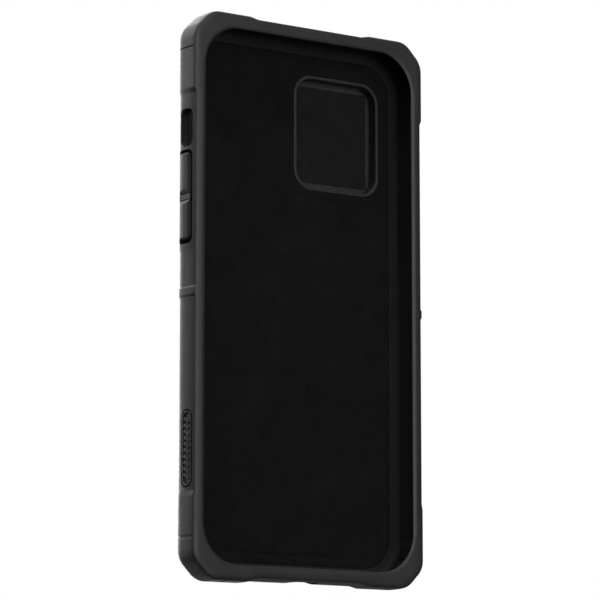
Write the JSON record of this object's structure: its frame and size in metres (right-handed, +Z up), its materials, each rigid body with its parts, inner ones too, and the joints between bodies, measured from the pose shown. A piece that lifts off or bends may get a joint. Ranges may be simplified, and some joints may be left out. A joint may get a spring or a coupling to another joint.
{
  "type": "rugged phone case",
  "caption": "Rugged black phone case with chamfered corner blocks, a raised lip, press keys, a sliding camera cover and a swivelling fold-out finger ring.",
  "frame": {"origin": "middle of the bottom edge's lowest line, at half the case's depth", "axes": "+Z up along the case's length, -Y out of the screen opening, +Y out of the back, +X to the right seen from the screen side"},
  "size_m": [0.0768, 0.0146, 0.1535],
  "materials": {
    "soft_black_tpu": "satin, very fine grain",
    "soft_black_insert": "matte",
    "hard_black_trim": "satin",
    "hard_black_shell": "fine matte texture",
    "black_microfibre": "brushed nap",
    "cover_black": "fine matte texture",
    "black_felt": "felt",
    "soft_black_grip": "satin",
    "bush_plastic": "plain",
    "gunmetal_anodised": "bead blasted, dark anodised",
    "gunmetal_ring": "bead blasted, dark anodised",
    "retainer_steel": "plain",
    "magnet_steel": "circular brushed, dark",
    "pin_steel": "polished",
    "key_black": "satin"
  },
  "bodies": {
    "root": {"bumper_frame": "soft_black_tpu", "corner_inserts": "soft_black_insert", "side_badge": "hard_black_trim", "back_plate": "hard_black_shell", "inner_liner": "black_microfibre", "camera_frame": "hard_black_trim", "slide_bezel": "hard_black_shell", "hub_bushing": "bush_plastic", "volume_key_carrier": "soft_black_tpu", "power_key_carrier": "soft_black_tpu"},
    "camera_cover": {"camera_cover": "cover_black", "cover_pad": "black_felt", "cover_grip": "soft_black_grip"},
    "ring_hub": {"hub_disc": "gunmetal_anodised", "hub_retainer": "retainer_steel", "retainer_screws": "retainer_steel", "friction_washer": "retainer_steel", "magnet_plate": "magnet_steel"},
    "finger_ring": {"ring_loop": "gunmetal_ring", "hinge_pin": "pin_steel"},
    "volume_up": {"volume_up_key": "key_black"},
    "volume_down": {"volume_down_key": "key_black"},
    "power": {"power_key": "key_black"}
  },
  "joints": [
    {"name": "cover_slide", "type": "slide", "parent": "root", "child": "camera_cover", "axis": [-1, 0, 0], "range_m": [0, 0.0308]},
    {"name": "ring_swivel", "type": "hinge", "parent": "root", "child": "ring_hub", "pos_m": [0, 0.0047, 0.06087], "axis": [0, 1, 0], "continuous": true},
    {"name": "ring_tilt", "type": "hinge", "parent": "ring_hub", "child": "finger_ring", "pos_m": [0, 0.00545, 0.08007], "axis": [1, 0, 0], "range_deg": [0, 140]},
    {"name": "volume_up_press", "type": "slide", "parent": "root", "child": "volume_up", "axis": [1, 0, 0], "range_m": [0, 0.0004], "stiffness_N_per_m": 3500, "springref_m": -0.0001},
    {"name": "volume_down_press", "type": "slide", "parent": "root", "child": "volume_down", "axis": [1, 0, 0], "range_m": [0, 0.0004], "stiffness_N_per_m": 3500, "springref_m": -0.0001},
    {"name": "power_press", "type": "slide", "parent": "root", "child": "power", "axis": [-1, 0, 0], "range_m": [0, 0.0004], "stiffness_N_per_m": 3500, "springref_m": -0.0001}
  ]
}
